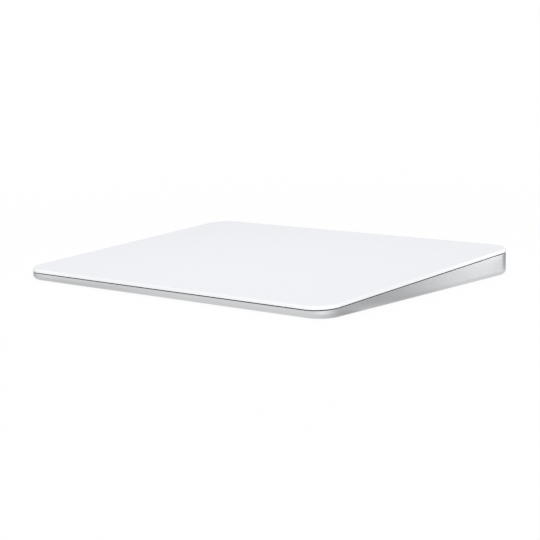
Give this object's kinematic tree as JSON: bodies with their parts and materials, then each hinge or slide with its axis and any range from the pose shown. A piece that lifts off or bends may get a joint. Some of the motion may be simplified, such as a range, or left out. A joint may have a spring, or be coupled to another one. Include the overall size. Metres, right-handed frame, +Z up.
{
  "type": "trackpad",
  "caption": "Wireless desk trackpad: a wedge-shaped aluminium body under a sloping white glass touch surface, with a charging socket and a power switch in the rear edge.",
  "frame": {"origin": "on the desk, under the middle of the body's footprint", "axes": "+Z up; -Y is the thin front edge that faces the user, +Y the thick rear edge; +X is the user's right"},
  "size_m": [0.16, 0.115, 0.0109],
  "materials": {
    "touch_surface": "satin",
    "body_metal": "satin",
    "foot_rubber": "matte",
    "socket_steel": "satin",
    "switch_metal": "satin",
    "indicator_green": "satin",
    "connector_plastic": "satin",
    "adhesive": "matte",
    "circuit_board": "satin",
    "chip_black": "matte",
    "sheet_steel": "satin",
    "spring_steel": "satin",
    "screw_steel": "polished",
    "core_steel": "matte",
    "coil_copper": "gloss",
    "cell_foil": "matte",
    "flat_cable": "gloss",
    "gel": "gloss",
    "gauge_film": "satin",
    "antenna_ceramic": "satin"
  },
  "bodies": {
    "enclosure": {"antenna": "antenna_ceramic", "battery_adhesive": "adhesive", "battery_cell_left": "cell_foil", "battery_cell_right": "cell_foil", "battery_lead": "flat_cable", "battery_protection_board": "circuit_board", "board_chips": "chip_black", "board_connectors": "connector_plastic", "charging_socket_shell": "socket_steel", "charging_socket_tongue": "connector_plastic", "enclosure": "body_metal", "flexure_front_left": "spring_steel", "flexure_front_right": "spring_steel", "flexure_nuts": "screw_steel", "flexure_rear_left": "spring_steel", "flexure_rear_right": "spring_steel", "flexure_screws": "screw_steel", "foot_front_left": "foot_rubber", "foot_front_right": "foot_rubber", "foot_rear_left": "foot_rubber", "foot_rear_right": "foot_rubber", "haptic_bracket": "sheet_steel", "haptic_cable": "flat_cable", "haptic_coils": "coil_copper", "haptic_core": "core_steel", "haptic_screws": "screw_steel", "main_board": "circuit_board", "main_board_screws": "screw_steel", "radio_chip": "chip_black", "sensor_cable": "flat_cable", "shield_can": "sheet_steel", "slide_switch_case": "sheet_steel", "strain_gauge_front_left": "gauge_film", "strain_gauge_front_right": "gauge_film", "strain_gauge_rear_left": "gauge_film", "strain_gauge_rear_right": "gauge_film", "switch_board": "circuit_board", "switch_board_screws": "screw_steel", "switch_cable": "flat_cable"},
    "suspension": {"load_pad_front_left": "sheet_steel", "load_pad_front_right": "sheet_steel", "load_pad_rear_left": "sheet_steel", "load_pad_rear_right": "sheet_steel"},
    "glass_module": {"touch_glass": "touch_surface", "glass_adhesive": "adhesive", "touch_sensor_board": "circuit_board", "stiffener_plate": "sheet_steel", "touch_controller_chips": "chip_black", "sensor_connector": "connector_plastic", "strike_plate": "sheet_steel", "strike_plate_screws": "screw_steel", "gel_pad_front_left": "gel", "gel_pad_front_right": "gel", "gel_pad_rear_left": "gel", "gel_pad_rear_right": "gel"},
    "power_switch": {"power_switch_knob": "switch_metal", "switch_indicator": "indicator_green", "slide_switch_actuator": "connector_plastic"}
  },
  "joints": [
    {"name": "surface_press", "type": "slide", "parent": "enclosure", "child": "suspension", "axis": [0, -0.0513, 0.9987], "range_m": [-0.00015, 0], "stiffness_N_per_m": 30000, "springref_m": 0.0001, "deforming": ["flexure_front_left", "flexure_front_right", "flexure_rear_left", "flexure_rear_right"]},
    {"name": "haptic_shift", "type": "slide", "parent": "suspension", "child": "glass_module", "axis": [1, 0, 0], "range_m": [-0.0001, 0.0001], "stiffness_N_per_m": 30000},
    {"name": "power_slide", "type": "slide", "parent": "enclosure", "child": "power_switch", "axis": [1, 0, 0], "range_m": [0, 0.0024]}
  ]
}
